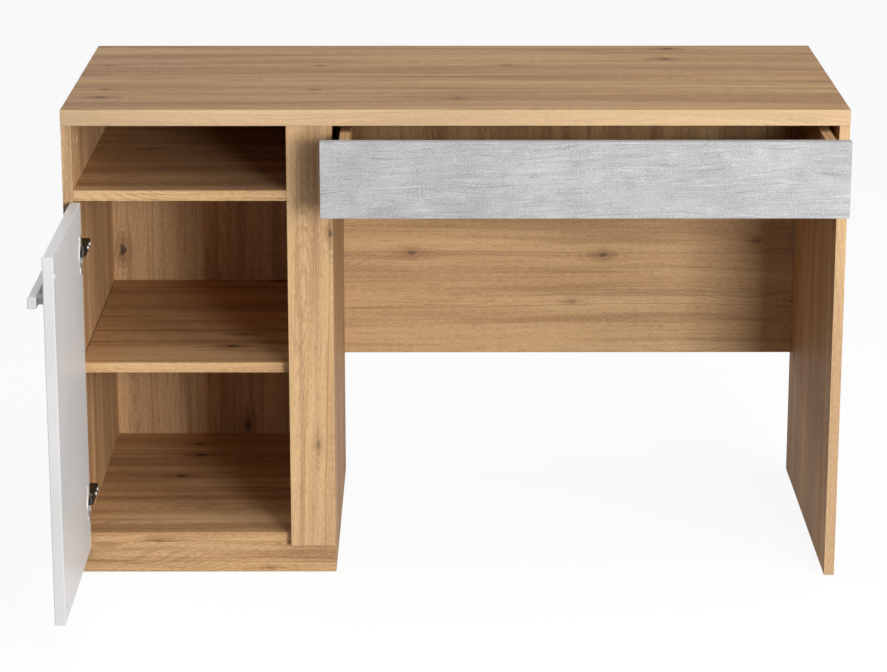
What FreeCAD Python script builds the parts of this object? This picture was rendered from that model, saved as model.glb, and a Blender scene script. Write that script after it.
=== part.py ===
"""Single-pedestal student desk of laminated board, with one hinged door and one drawer.

X runs to the right, Y from front to back and Z up, in millimetres. Pieces are placed from the
middle of the desk's width, the front edges of the side panels and the floor. The door and the
drawer are built shut and then moved to the open pose in which the desk is shown. At the end the
whole desk is moved, so that its origin is on the floor in the middle of its outline.
"""
import FreeCAD, Part
import os

# Overall sizes
desk_width = 1200.0
desk_depth = 550.0
side_height = 725.0
top_thickness = 25.0
board = 16.0
hardboard = 3.0
edge_round = 1.2
arris = 0.5

# Carcass boards
top_front_overhang = 3.0
top_back_overhang = 2.0
pedestal_width = 412.0
post_width = 70.0
post_thickness = 18.0
plinth_height = 50.0
niche_height = 101.0
lower_space_height = 261.0
modesty_height = 508.0
shelf_setback = 26.0
shelf_gap = 1.0
back_margin = 3.0

# Pose shown
door_angle = 90.0
drawer_pull = 92.0

# Door
front_gap = 3.0
front_thickness = 16.0
door_overlay_left = 6.0
door_overlay_right = 14.0
door_top_gap = 1.5
bumper_radius = 4.0
bumper_height = 2.5
bumper_round = 2.0
bumper_from_edge = 7.0
bumper_from_end = 30.0

# Bar handle on the door
handle_length = 160.0
handle_height = 18.0
handle_bar = 13.0
finger_gap = 12.0
handle_round = 1.5
handle_foot = 14.0
handle_foot_inset = 14.0
handle_from_edge = 15.0
handle_from_top = 71.0
handle_screw_grip = 9.0

# Concealed hinge
hinge_from_end = 78.0
cup_radius = 17.5
cup_wall = 0.8
cup_from_edge = 3.0
flange_radius = 19.5
flange_length = 62.0
flange_ear = 15.0
flange_corner = 5.0
flange_thickness = 1.5
flange_screw_spacing = 46.0
pin_radius = 1.2
pin_fit = 0.05
knuckle_radius = 2.4
knuckle_side_room = 1.8
knuckle_floor_room = 0.3
arm_wall = 2.2
arm_width = 13.0
arm_bend = 3.5
arm_flange_room = 1.9
arm_length = 60.0
arm_cheek = 1.2
arm_cheek_start = 12.0
arm_cheek_room = 0.3
plate_thickness = 2.5
plate_length = 52.0
plate_width = 18.0
plate_setback = 37.0
plate_screw_spacing = 32.0
saddle_start = 18.0
saddle_end = 57.0
arm_screw_setbacks = (26.0, 49.0)
arm_screw_length = 8.0
pivot_depth = 9.0

# Drawer
drawer_overlap_left = 15.0
drawer_overlap_right = 5.0
drawer_top_gap = 2.0
drawer_front_height = 117.0
drawer_side_height = 98.0
drawer_side_drop = 7.0
drawer_bottom_inset = 8.0
groove_depth = 6.0

# Ball runner
runner_length = 350.0
runner_width = 12.7
runner_setback = 2.0
runner_travel = 250.0
rail_wall = 1.2
ball_radius = 2.5
ball_room = 0.3
ball_rise = 17.5
ball_count = 5
cage_wall = 0.6
cage_flange = 0.8
cage_drop = 1.0
cage_reach = 9.0
cage_margin = 3.0
rail_curl_angle = 22.0

# Fasteners
fit = 0.1
overrun = 1.0
cam_radius = 7.5
cam_depth = 12.5
cam_distance = 34.0
bolt_radius = 3.5
bolt_thread_radius = 2.5
bolt_thread_length = 11.0
dowel_radius = 4.0
dowel_length = 30.0
dowel_face_depth = 11.0
screw_radius = 1.8
screw_head_radius = 3.6
screw_head_height = 1.9
wood_screw_length = 12.0
back_screw_length = 45.0
nail_radius = 0.8
nail_length = 22.0
nail_head_radius = 2.0
nail_head_height = 0.8
nail_end_margin = 45.0
nails_per_side = 6
shelf_pin_radius = 2.5
shelf_pin_depth = 8.0
shelf_pin_reach = 9.0
shelf_pin_inset = 45.0
glide_radius = 7.0
glide_height = 3.0
glide_round = 1.0
glide_nail_radius = 1.2
glide_nail_length = 14.0
glide_front_inset = 45.0
glide_back_inset = 65.0

# Places along a board, as shares of its length
cam_shares = (0.14, 0.86)
dowel_share = 0.5
post_dowel_shares = (0.2, 0.5, 0.8)
plinth_dowel_shares = (0.15, 0.5, 0.85)
shelf_nail_shares = (0.33, 0.67)
cabinet_rail_screw_shares = (0.08, 0.5, 0.92)
drawer_rail_screw_shares = (0.12, 0.5, 0.88)
drawer_cam_share = 0.72
drawer_dowel_share = 0.3
back_screw_shares = (0.17, 0.85)

vec = FreeCAD.Vector
RIGHT = vec(1, 0, 0)
BACK = vec(0, 1, 0)
UP = vec(0, 0, 1)

# Main lines of the carcass
left_outer = -desk_width / 2
right_outer = desk_width / 2
left_inner = left_outer + board
right_inner = right_outer - board
pedestal_right = left_outer + pedestal_width
pedestal_inner = pedestal_right - board
post_left = pedestal_right - post_width
carcass_back = desk_depth - top_front_overhang - top_back_overhang - hardboard
plinth_back = post_thickness + board
base = glide_height
under_top = base + side_height
bottom_low = base + plinth_height
bottom_high = bottom_low + board
niche_floor = under_top - niche_height
niche_low = niche_floor - board
shelf_low = bottom_high + lower_space_height
shelf_front = shelf_setback
shelf_back = carcass_back - shelf_gap
modesty_low = under_top - modesty_height
modesty_front = carcass_back - board

# Main lines of the door, shut
door_left = left_inner - door_overlay_left
door_right = post_left + door_overlay_right
door_inner = -front_gap
door_outer = door_inner - front_thickness
door_low = bottom_low
door_high = niche_low - door_top_gap

# Hinge pivot and cup, shut
cup_depth = pivot_depth + knuckle_radius + knuckle_floor_room + cup_wall
pivot_from_edge = cup_from_edge + cup_wall + knuckle_side_room + knuckle_radius
pivot = vec(door_left + pivot_from_edge, door_inner - pivot_depth, 0)
cup_x = door_left + cup_from_edge + cup_radius
arm_x = pivot.x + pivot_depth + flange_thickness + arm_flange_room + arm_wall / 2
hinge_levels = {"lower": door_low + hinge_from_end, "upper": door_high - hinge_from_end}

# Main lines of the drawer, shut
drawer_left = pedestal_right + runner_width
drawer_right = right_inner - runner_width
drawer_front_high = under_top - drawer_top_gap
drawer_front_low = drawer_front_high - drawer_front_height
drawer_side_high = drawer_front_high - drawer_side_drop
drawer_side_low = drawer_side_high - drawer_side_height
drawer_back_end = runner_setback + runner_length
drawer_bottom_low = drawer_side_low + drawer_bottom_inset
runner_level = drawer_side_low + drawer_side_height / 2

parts = {}
bores = {}


def block(x, y, z):
    """A box between two bounds along each axis."""
    return Part.makeBox(x[1] - x[0], y[1] - y[0], z[1] - z[0], vec(x[0], y[0], z[0]))


def soft_block(x, y, z, radius):
    """A box with all its edges rounded alike."""
    solid = block(x, y, z)
    return solid.makeFillet(radius, solid.Edges)


def rod(radius, start, end):
    """A round bar between two points."""
    return Part.makeCylinder(radius, (end - start).Length, start, end - start)


def arc_wall(centre, inner, outer, start, sweep, height):
    """A wall bent about an upright line, from one angle through a sweep."""
    wall = Part.makeCylinder(outer, height, centre, UP, abs(sweep))
    wall = wall.cut(Part.makeCylinder(inner, height, centre, UP, abs(sweep)))
    wall.rotate(centre, UP, start + min(sweep, 0))
    return wall


def between(low, high, share):
    """The place at a share of the way from one bound to another."""
    return low + (high - low) * share


def add(name, *solids):
    """Add solids to a named piece, or to a named group of like pieces."""
    parts.setdefault(name, []).extend(solids)


def bore(tool, *names):
    """Note a cut for each named piece that a fastener or a groove runs through."""
    for name in names:
        bores.setdefault(name, []).append(tool)


def cam_joint(kit, face_point, inward, along, host, mate):
    """A cam lock in a face of the host board, and the bolt that it pulls out of its mate."""
    middle = face_point + inward * (board / 2)
    edge = middle + along * cam_distance
    tip = edge + along * bolt_thread_length
    seat = rod(bolt_radius + fit, middle - along * bolt_radius, edge + along * overrun)
    cam = rod(cam_radius, face_point, face_point + inward * cam_depth)
    add(kit + "_cam_locks", cam.cut(seat))
    add(kit + "_cam_bolts", rod(bolt_radius, middle, edge).fuse(rod(bolt_thread_radius, edge, tip)))
    bore(rod(cam_radius + fit, face_point - inward * overrun, face_point + inward * cam_depth), host)
    bore(seat, host)
    bore(rod(bolt_thread_radius + fit, edge - along * overrun, tip + along * fit), mate)


def dowel_joint(kit, point, along, host, mate):
    """A wooden dowel from the edge of the host board into the face of its mate."""
    start = point - along * (dowel_length - dowel_face_depth)
    end = point + along * dowel_face_depth
    add(kit + "_dowels", rod(dowel_radius, start, end))
    bore(rod(dowel_radius + fit, start - along * fit, end + along * fit), host, mate)


def screw(name, point, inward, length, *clamped):
    """A countersunk screw, flush with the surface that it is driven into."""
    neck = point + inward * screw_head_height
    head = Part.makeCone(screw_head_radius, screw_radius, screw_head_height, point, inward)
    add(name, head.fuse(rod(screw_radius, neck, point + inward * length)))
    sink = Part.makeCone(screw_head_radius + fit, screw_radius + fit, screw_head_height, point, inward)
    hole = rod(screw_radius + fit, point - inward * overrun, point + inward * (length + fit))
    bore(sink.fuse(hole), *clamped)


def pan_screw(name, point, inward, length, *clamped):
    """A screw whose flat head stands on the surface that it holds."""
    head = rod(screw_head_radius, point - inward * screw_head_height, point)
    add(name, head.fuse(rod(screw_radius, point, point + inward * length)))
    bore(rod(screw_radius + fit, point - inward * overrun, point + inward * (length + fit)), *clamped)


def carcass_boards():
    """The boards that stand and lie still."""
    pedestal_z = (base, under_top)
    shelf_x = (left_inner, pedestal_inner)
    toe = block((left_outer, pedestal_right), (-overrun, plinth_back), (base - overrun, bottom_low))
    top_back = desk_depth - top_front_overhang
    add("top_panel", soft_block((left_outer, right_outer), (-top_front_overhang, top_back),
                                (under_top, under_top + top_thickness), edge_round))
    carcass_y = (0, carcass_back)
    post_x = (post_left, pedestal_right)
    post_y = (0, post_thickness)
    post_z = (bottom_low, under_top)
    notch = block(post_x, post_y, post_z)
    add("left_side_panel", soft_block((left_outer, left_inner), carcass_y, pedestal_z, arris).cut(toe))
    add("right_side_panel", soft_block((right_inner, right_outer), carcass_y, pedestal_z, arris))
    add("pedestal_side_panel", soft_block((pedestal_inner, pedestal_right), (post_thickness, carcass_back),
                                          pedestal_z, arris).cut(toe))
    add("front_post", soft_block(post_x, post_y, post_z, arris))
    add("niche_shelf", soft_block(shelf_x, carcass_y, (niche_low, niche_floor), arris).cut(notch))
    add("bottom_panel", soft_block(shelf_x, (post_thickness, carcass_back), (bottom_low, bottom_high), arris))
    add("plinth", soft_block((left_outer, pedestal_right), (post_thickness, plinth_back),
                             (base, bottom_low), arris))
    add("middle_shelf", soft_block((left_inner + shelf_gap, pedestal_inner - shelf_gap),
                                   (shelf_front, shelf_back), (shelf_low, shelf_low + board), arris))
    add("modesty_panel", soft_block((pedestal_right, right_inner), (modesty_front, carcass_back),
                                    (modesty_low, under_top), arris))
    add("back_panel", block((left_outer + back_margin, pedestal_right - back_margin),
                            (carcass_back, carcass_back + hardboard),
                            (base + back_margin, under_top - back_margin)))


def carcass_joints():
    """Cam locks, bolts and dowels that hold the boards together."""
    uprights = (("left_side_panel", left_inner, -RIGHT), ("pedestal_side_panel", pedestal_inner, RIGHT),
                ("right_side_panel", right_inner, RIGHT))
    for host, face_x, inward in uprights:
        for share in cam_shares:
            face_point = vec(face_x, carcass_back * share, under_top - cam_distance)
            cam_joint("cabinet", face_point, inward, UP, host, "top_panel")
        middle = vec(face_x, carcass_back * dowel_share, under_top) + inward * (board / 2)
        dowel_joint("cabinet", middle, UP, host, "top_panel")

    ends = ((left_inner, -RIGHT, "left_side_panel"), (pedestal_inner, RIGHT, "pedestal_side_panel"))
    for host, low in (("niche_shelf", niche_low), ("bottom_panel", bottom_low)):
        for end_x, along, mate in ends:
            for share in cam_shares:
                face_point = vec(end_x, carcass_back * share, low) - along * cam_distance
                cam_joint("cabinet", face_point, UP, along, host, mate)
            middle = vec(end_x, carcass_back * dowel_share, low + board / 2)
            dowel_joint("cabinet", middle, along, host, mate)

    ends = ((pedestal_right, -RIGHT, "pedestal_side_panel"), (right_inner, RIGHT, "right_side_panel"))
    for end_x, along, mate in ends:
        for share in cam_shares:
            level = between(modesty_low, under_top, share)
            face_point = vec(end_x, carcass_back, level) - along * cam_distance
            cam_joint("cabinet", face_point, -BACK, along, "modesty_panel", mate)
        middle = vec(end_x, carcass_back - board / 2, between(modesty_low, under_top, dowel_share))
        dowel_joint("cabinet", middle, along, "modesty_panel", mate)

    for share in post_dowel_shares:
        level = between(bottom_low, under_top, share)
        middle = vec(pedestal_right - board / 2, post_thickness, level)
        dowel_joint("cabinet", middle, -BACK, "pedestal_side_panel", "front_post")
    for share in plinth_dowel_shares:
        middle = vec(between(left_inner, pedestal_inner, share), post_thickness + board / 2, bottom_low)
        dowel_joint("cabinet", middle, UP, "plinth", "bottom_panel")


def nail(point, *boards):
    """A nail through the thin back panel into the edge of a board."""
    head = rod(nail_head_radius, point, point + BACK * nail_head_height)
    add("back_nails", head.fuse(rod(nail_radius, point - BACK * nail_length, point)))
    bore(rod(nail_radius + fit, point - BACK * (nail_length + fit), point + BACK * overrun), *boards)


def back_nails():
    """Nails round the edges of the back panel and along the shelves."""
    rear = carcass_back + hardboard
    low = base + nail_end_margin
    pitch = (under_top - nail_end_margin - low) / (nails_per_side - 1)
    for host, x in (("left_side_panel", left_inner - board / 2),
                    ("pedestal_side_panel", pedestal_right - board / 2)):
        for step in range(nails_per_side):
            nail(vec(x, rear, low + pitch * step), "back_panel", host)
    for host, level in (("niche_shelf", niche_low + board / 2), ("bottom_panel", bottom_low + board / 2)):
        for share in shelf_nail_shares:
            nail(vec(between(left_inner, pedestal_inner, share), rear, level), "back_panel", host)


def shelf_pins():
    """Four round pins that the middle shelf lies on."""
    level = shelf_low - shelf_pin_radius
    for host, face_x, inward in (("left_side_panel", left_inner, -RIGHT),
                                 ("pedestal_side_panel", pedestal_inner, RIGHT)):
        for y in (shelf_front + shelf_pin_inset, shelf_back - shelf_pin_inset):
            face = vec(face_x, y, level)
            end = face + inward * shelf_pin_depth
            add("shelf_pins", rod(shelf_pin_radius, face - inward * shelf_pin_reach, end))
            bore(rod(shelf_pin_radius + fit, face - inward * overrun, end + inward * fit), host)


def glides():
    """Round nail-on glides under the upright panels."""
    hosts = (("left_side_panel", left_inner - board / 2), ("pedestal_side_panel", pedestal_right - board / 2),
             ("right_side_panel", right_inner + board / 2))
    for host, x in hosts:
        for y in (glide_front_inset, carcass_back - glide_back_inset):
            disc = Part.makeCylinder(glide_radius, glide_height, vec(x, y, 0))
            foot_edge = min(disc.Edges, key=lambda edge: edge.BoundBox.ZMax)
            disc = disc.makeFillet(glide_round, [foot_edge])
            seat = vec(x, y, base)
            tip = seat + UP * glide_nail_length
            add("glides", disc.fuse(rod(glide_nail_radius, seat, tip)))
            bore(rod(glide_nail_radius + fit, seat - UP * overrun, tip + UP * fit), host)


def hinge_arm(name, level):
    """A channel-shaped arm whose goose neck reaches round the door's edge to the pin."""
    low = level - arm_width / 2
    span = (low, low + arm_width)
    half = arm_wall / 2
    elbow = vec(arm_x - arm_bend, pivot.y + arm_bend, low)
    nose = block((pivot.x, elbow.x), (pivot.y - half, pivot.y + half), span)
    bend = arc_wall(elbow, arm_bend - half, arm_bend + half, -90, 90, arm_width)
    web = block((arm_x - half, arm_x + half), (elbow.y, arm_length), span)
    cheek_x = (left_inner + plate_thickness + arm_cheek_room, arm_x - half)
    cheek_y = (arm_cheek_start, arm_length)
    lower_cheek = block(cheek_x, cheek_y, (span[0], span[0] + arm_cheek))
    upper_cheek = block(cheek_x, cheek_y, (span[1] - arm_cheek, span[1]))
    foot = vec(pivot.x, pivot.y, low)
    knuckle = rod(knuckle_radius, foot, foot + UP * arm_width)
    arm = knuckle.fuse([nose, bend, web, lower_cheek, upper_cheek]).removeSplitter()
    add(name, arm)
    bore(rod(pin_radius + pin_fit, foot - UP * overrun, foot + UP * (arm_width + overrun)), name)


def hinge_plate(name, arm_name, level):
    """A mounting plate with two wings and the saddle that carries the arm."""
    face_x = (left_inner, left_inner + plate_thickness)
    wing_z = plate_length / 2 - plate_width / 2
    wings = block(face_x, (plate_setback - plate_width / 2, plate_setback + plate_width / 2),
                  (level - wing_z, level + wing_z))
    for side in (-1, 1):
        centre = vec(left_inner, plate_setback, level + side * wing_z)
        wings = wings.fuse(rod(plate_width / 2, centre, centre + RIGHT * plate_thickness))
    saddle_half = arm_width / 2 - arm_cheek - arm_cheek_room
    saddle = block((left_inner, arm_x - arm_wall / 2), (saddle_start, saddle_end),
                   (level - saddle_half, level + saddle_half))
    add(name, wings.fuse(saddle).removeSplitter())
    for side in (-1, 1):
        point = vec(face_x[1], plate_setback, level + side * plate_screw_spacing / 2)
        screw("hinge_plate_screws", point, -RIGHT, wood_screw_length, name, "left_side_panel")
    for setback in arm_screw_setbacks:
        point = vec(arm_x + arm_wall / 2, setback, level)
        pan_screw("hinge_arm_screws", point, -RIGHT, arm_screw_length, name, arm_name)


def hinge_cup(name, pin_name, level):
    """A flanged steel cup let into the door, and the pin that crosses it."""
    mouth = vec(cup_x, door_inner, level)
    floor = mouth - BACK * cup_depth
    flange_y = (door_inner, door_inner + flange_thickness)
    disc = rod(flange_radius, mouth, mouth + BACK * flange_thickness)
    ears = block((cup_x - flange_ear / 2, cup_x + flange_ear / 2), flange_y,
                 (level - flange_length / 2, level + flange_length / 2))
    ears = ears.makeFillet(flange_corner, [edge for edge in ears.Edges if edge.BoundBox.YLength > 0])
    trim_x = cup_x - cup_radius
    trim = block((trim_x - flange_radius, trim_x), (flange_y[0] - overrun, flange_y[1] + overrun),
                 (level - flange_radius, level + flange_radius))
    shell = disc.fuse(ears).cut(trim).fuse(rod(cup_radius, floor, mouth))
    hollow = rod(cup_radius - cup_wall, floor + BACK * cup_wall, mouth + BACK * (flange_thickness + overrun))
    add(name, shell.cut(hollow).removeSplitter())
    bore(rod(cup_radius + fit, floor - BACK * fit, mouth + BACK * overrun), "door_panel")

    reach = (cup_radius ** 2 - (cup_x - pivot.x + pin_radius) ** 2) ** 0.5
    middle = vec(pivot.x, pivot.y, level)
    add(pin_name, rod(pin_radius, middle - UP * reach, middle + UP * reach))
    bore(rod(pin_radius + pin_fit, middle - UP * cup_radius, middle + UP * cup_radius), name)
    for side in (-1, 1):
        point = vec(cup_x, flange_y[1], level + side * flange_screw_spacing / 2)
        screw("hinge_cup_screws", point, -BACK, wood_screw_length, name, "door_panel")


def handle():
    """A straight bar on two feet, screwed on from inside the door."""
    right = door_right - handle_from_edge
    left = right - handle_length
    level = door_high - handle_from_top
    bar_inner = door_outer - finger_gap
    bar_z = (level - handle_height / 2, level + handle_height / 2)
    bar = soft_block((left, right), (bar_inner - handle_bar, bar_inner), bar_z, handle_round)
    inset = handle_foot_inset + handle_foot / 2
    for x in (left + inset, right - inset):
        foot = rod(handle_foot / 2, vec(x, bar_inner - handle_bar / 2, level), vec(x, door_outer, level))
        bar = bar.fuse(foot)
        point = vec(x, door_inner, level)
        length = front_thickness + handle_screw_grip
        screw("handle_screws", point, -BACK, length, "door_panel", "door_handle")
    add("door_handle", bar.removeSplitter())


def door():
    """The white door, shut, with its hinges, handle and bumpers."""
    add("door_panel", soft_block((door_left, door_right), (door_outer, door_inner),
                                 (door_low, door_high), edge_round))
    for place, level in hinge_levels.items():
        hinge_arm("hinge_arm_" + place, level)
        hinge_plate("hinge_plate_" + place, "hinge_arm_" + place, level)
        hinge_cup("hinge_cup_" + place, "hinge_pin_" + place, level)
    handle()
    for level in (door_low + bumper_from_end, door_high - bumper_from_end):
        seat = vec(door_right - bumper_from_edge, door_inner, level)
        dome = rod(bumper_radius, seat, seat + BACK * bumper_height)
        rim = max(dome.Edges, key=lambda edge: edge.BoundBox.YMin)
        add("door_bumpers", dome.makeFillet(bumper_round, [rim]))


def drawer():
    """The drawer box and its front, shut."""
    side_y = (door_inner, drawer_back_end)
    side_z = (drawer_side_low, drawer_side_high)
    bottom_high_z = drawer_bottom_low + hardboard
    inner_x = (drawer_left + board, drawer_right - board)
    back_y = (drawer_back_end - board, drawer_back_end)
    front_x = (pedestal_right - drawer_overlap_left, right_inner + drawer_overlap_right)
    front_z = (drawer_front_low, drawer_front_high)
    add("drawer_front", soft_block(front_x, (door_outer, door_inner), front_z, edge_round))
    add("drawer_left_side", soft_block((drawer_left, inner_x[0]), side_y, side_z, arris))
    add("drawer_right_side", soft_block((inner_x[1], drawer_right), side_y, side_z, arris))
    add("drawer_back", soft_block(inner_x, back_y, (bottom_high_z, drawer_side_high), arris))
    bottom_x = (inner_x[0] - groove_depth, inner_x[1] + groove_depth)
    bottom_front = door_inner - groove_depth
    add("drawer_bottom", block(bottom_x, (bottom_front, drawer_back_end), (drawer_bottom_low, bottom_high_z)))
    groove = block((bottom_x[0] - fit, bottom_x[1] + fit), (bottom_front - fit, drawer_back_end + overrun),
                   (drawer_bottom_low - fit, bottom_high_z + fit))
    bore(groove, "drawer_front", "drawer_left_side", "drawer_right_side")

    for host, face_x, inward in (("drawer_left_side", inner_x[0], -RIGHT),
                                 ("drawer_right_side", inner_x[1], RIGHT)):
        level = between(drawer_side_low, drawer_side_high, drawer_cam_share)
        face_point = vec(face_x, door_inner + cam_distance, level)
        cam_joint("drawer", face_point, inward, -BACK, host, "drawer_front")
        level = between(drawer_side_low, drawer_side_high, drawer_dowel_share)
        middle = vec(face_x, door_inner, level) + inward * (board / 2)
        dowel_joint("drawer", middle, -BACK, host, "drawer_front")
        for share in back_screw_shares:
            level = between(drawer_side_low, drawer_side_high, share)
            point = vec(face_x, drawer_back_end - board / 2, level) + inward * board
            screw("drawer_back_screws", point, -inward, back_screw_length, host, "drawer_back")


def runner_profiles():
    """Rails, cage and balls of one runner, lying along Z with the cabinet's panel at X zero."""
    track_inner = ball_radius + ball_room
    track_outer = track_inner + rail_wall
    centre_x = track_outer
    web_far = runner_width - rail_wall
    flange_y = (ball_rise - track_outer, ball_rise - track_inner)
    cage_x = (rail_wall + ball_room, rail_wall + ball_room + cage_wall)
    cage_top = ball_rise - cage_drop
    cage_length = runner_length - runner_travel - 2 * cage_margin
    cabinet = block((0, rail_wall), (-ball_rise, ball_rise), (0, runner_length))
    moving = block((web_far, runner_width), (-flange_y[1], flange_y[1]), (0, runner_length))
    cage = block(cage_x, (-cage_top, cage_top), (0, cage_length))
    balls = []
    for side in (-1, 1):
        track = vec(centre_x, side * ball_rise, 0)
        cabinet = cabinet.fuse(arc_wall(track, track_inner, track_outer, 0, side * 180, runner_length))
        curl = arc_wall(track, track_inner, track_outer, -side * 90, -side * rail_curl_angle, runner_length)
        edges = sorted((side * flange_y[0], side * flange_y[1]))
        moving = moving.fuse([curl, block((centre_x, web_far), edges, (0, runner_length))])
        edges = sorted((side * cage_top, side * (cage_top - cage_flange)))
        cage = cage.fuse(block((cage_x[0], cage_reach), edges, (0, cage_length)))
    pitch = cage_length / ball_count
    for step in range(ball_count):
        along = pitch / 2 + pitch * step
        for side in (-1, 1):
            balls.append(Part.makeSphere(ball_radius, vec(centre_x, side * ball_rise, along)))
            edges = sorted((side * ball_rise, side * (cage_top - cage_flange)))
            window = block((0, centre_x), edges, (along - ball_radius, along + ball_radius))
            hole = rod(ball_radius, vec(centre_x, edges[0], along), vec(centre_x, edges[1], along))
            cage = cage.cut(window.fuse(hole))
    return cabinet.removeSplitter(), moving.removeSplitter(), cage.removeSplitter(), balls, cage_length


def runners():
    """A pair of ball runners between the drawer box and the panels beside it."""
    cabinet, moving, cage, balls, cage_length = runner_profiles()
    cage_start = (runner_length - cage_length) / 2
    for place, face_x, inward, cabinet_host in (("left", pedestal_right, -RIGHT, "pedestal_side_panel"),
                                                ("right", right_inner, RIGHT, "right_side_panel")):
        def placed(shape, start):
            """Lay a piece along the panel, mirrored on the right."""
            copy = shape.copy()
            copy.rotate(vec(0, 0, 0), RIGHT, -90)
            if inward.x > 0:
                copy = copy.mirror(vec(0, 0, 0), RIGHT)
            copy.translate(vec(face_x, runner_setback + start, runner_level))
            return copy

        add("cabinet_rail_" + place, placed(cabinet, 0))
        add("drawer_rail_" + place, placed(moving, 0))
        add("ball_cage_" + place, placed(cage, cage_start))
        add("runner_balls_" + place, *[placed(ball, cage_start) for ball in balls])
        for share in cabinet_rail_screw_shares:
            face = vec(face_x, runner_setback + runner_length * share, runner_level)
            screw("cabinet_rail_screws", face - inward * rail_wall, inward, wood_screw_length,
                  "cabinet_rail_" + place, cabinet_host)
        for share in drawer_rail_screw_shares:
            face = vec(face_x, runner_setback + runner_length * share, runner_level)
            point = face - inward * (runner_width - rail_wall)
            pan_screw("drawer_rail_screws", point, -inward, wood_screw_length,
                      "drawer_rail_" + place, "drawer_" + place + "_side")


carcass_boards()
carcass_joints()
back_nails()
shelf_pins()
glides()
door()
drawer()
runners()

# Pieces that leave their shut place in the pose shown
door_pieces = ("door_panel", "door_handle", "handle_screws", "door_bumpers", "hinge_cup_lower",
               "hinge_cup_upper", "hinge_pin_lower", "hinge_pin_upper", "hinge_cup_screws")
drawer_pieces = ("drawer_front", "drawer_left_side", "drawer_right_side", "drawer_back", "drawer_bottom",
                 "drawer_cam_locks", "drawer_cam_bolts", "drawer_dowels", "drawer_back_screws",
                 "drawer_rail_left", "drawer_rail_right", "drawer_rail_screws")
cage_pieces = ("ball_cage_left", "ball_cage_right", "runner_balls_left", "runner_balls_right")

shapes = {}
for name, solids in parts.items():
    tools = bores.get(name)
    finished = [solid.cut(tools) if tools else solid for solid in solids]
    shape = Part.makeCompound(finished) if len(finished) > 1 else finished[0]
    if name in door_pieces:
        shape.rotate(pivot, UP, -door_angle)
    if name in drawer_pieces:
        shape.translate(-BACK * drawer_pull)
    if name in cage_pieces:
        shape.translate(-BACK * (drawer_pull / 2))
    shapes[name] = shape

# The origin is on the floor, in the middle of the outline in the pose shown
outline = Part.makeCompound(list(shapes.values())).BoundBox
origin = vec(outline.Center.x, outline.Center.y, 0)
os.makedirs("parts", exist_ok=True)
for name, shape in shapes.items():
    shape.translate(-origin)
    shape.exportStep("parts/" + name + ".step")

print("pieces", len(shapes), "solids", sum(len(shape.Solids) for shape in shapes.values()))
print("outline", outline.XLength, outline.YLength, outline.ZMax)
print("origin in carcass terms", origin, "door pivot", pivot - origin)
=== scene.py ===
import bpy
import math
from mathutils import Matrix, Vector


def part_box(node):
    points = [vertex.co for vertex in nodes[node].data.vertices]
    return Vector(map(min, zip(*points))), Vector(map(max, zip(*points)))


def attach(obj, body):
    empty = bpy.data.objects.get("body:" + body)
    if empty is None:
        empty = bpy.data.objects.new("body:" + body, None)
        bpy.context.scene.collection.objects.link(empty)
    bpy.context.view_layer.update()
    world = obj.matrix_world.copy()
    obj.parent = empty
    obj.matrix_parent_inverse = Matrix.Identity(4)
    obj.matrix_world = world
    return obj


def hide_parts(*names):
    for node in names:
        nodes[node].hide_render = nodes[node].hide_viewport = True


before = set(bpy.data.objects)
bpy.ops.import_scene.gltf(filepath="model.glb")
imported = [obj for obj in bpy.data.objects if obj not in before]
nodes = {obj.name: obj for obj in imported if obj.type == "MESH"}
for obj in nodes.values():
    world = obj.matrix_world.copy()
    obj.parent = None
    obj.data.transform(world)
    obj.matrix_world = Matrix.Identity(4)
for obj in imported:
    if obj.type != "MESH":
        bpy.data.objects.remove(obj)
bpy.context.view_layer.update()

# Lengths are in millimetres times MM; a pattern's scale is one over its length in millimetres
MM = 0.001
TO_MM = (1 / MM, 1 / MM, 1 / MM)
QUARTER = math.pi / 2
SMOOTH_ANGLE = math.radians(32)

# Refraction of the melamine, lacquer, plastic, rubber and wood surfaces
COAT_IOR = 1.5

# Turns that bring a board's grain onto the first axis of its pattern
GRAIN_ALONG_X = (0, 0, 0)
GRAIN_ALONG_Y = (0, 0, -QUARTER)
GRAIN_ALONG_Z = (0, QUARTER, 0)


def linear(code):
    """An sRGB hex colour as the linear values that the shader reads."""
    parts = [int(code[i:i + 2], 16) / 255 for i in (1, 3, 5)]
    return [p / 12.92 if p <= 0.04045 else ((p + 0.055) / 1.055) ** 2.4 for p in parts] + [1]


def put(tree, kind, sockets=(), **settings):
    """Add one node, with its settings and with a value or a link for each socket named."""
    node = tree.nodes.new("ShaderNode" + kind)
    for name, value in settings.items():
        setattr(node, name, value)
    for key, value in dict(sockets).items():
        if isinstance(value, bpy.types.NodeSocket):
            tree.links.new(value, node.inputs[key])
        else:
            node.inputs[key].default_value = value
    return node.outputs


def blank_material(name):
    """An empty material and its node tree."""
    material = bpy.data.materials.new(name)
    material.use_nodes = True
    material.node_tree.nodes.clear()
    return material, material.node_tree


def surface(tree, sockets, height, depth):
    """The shader of a finish, with its relief, whose depth is in millimetres."""
    normal = put(tree, "Bump", {"Height": height, "Strength": 1.0, "Distance": depth * MM})[0]
    shader = put(tree, "BsdfPrincipled", {**sockets, "Normal": normal})[0]
    put(tree, "OutputMaterial", {"Surface": shader})


def layered(tree, base, coats):
    """A base colour under coats: each a colour, a mask, its span and its strength at each end."""
    colour = linear(base)
    for code, mask, low, high, least, most in coats:
        amount = put(tree, "MapRange", {0: mask, 1: low, 2: high, 3: least, 4: most},
                     interpolation_type="SMOOTHSTEP")[0]
        colour = put(tree, "Mix", {0: amount, 6: colour, 7: linear(code)}, data_type="RGBA")[2]
    return colour


def in_millimetres(tree):
    """A place on the piece, in millimetres."""
    place = put(tree, "TexCoord")["Object"]
    return put(tree, "Mapping", {"Vector": place, "Scale": TO_MM})[0]


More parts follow.
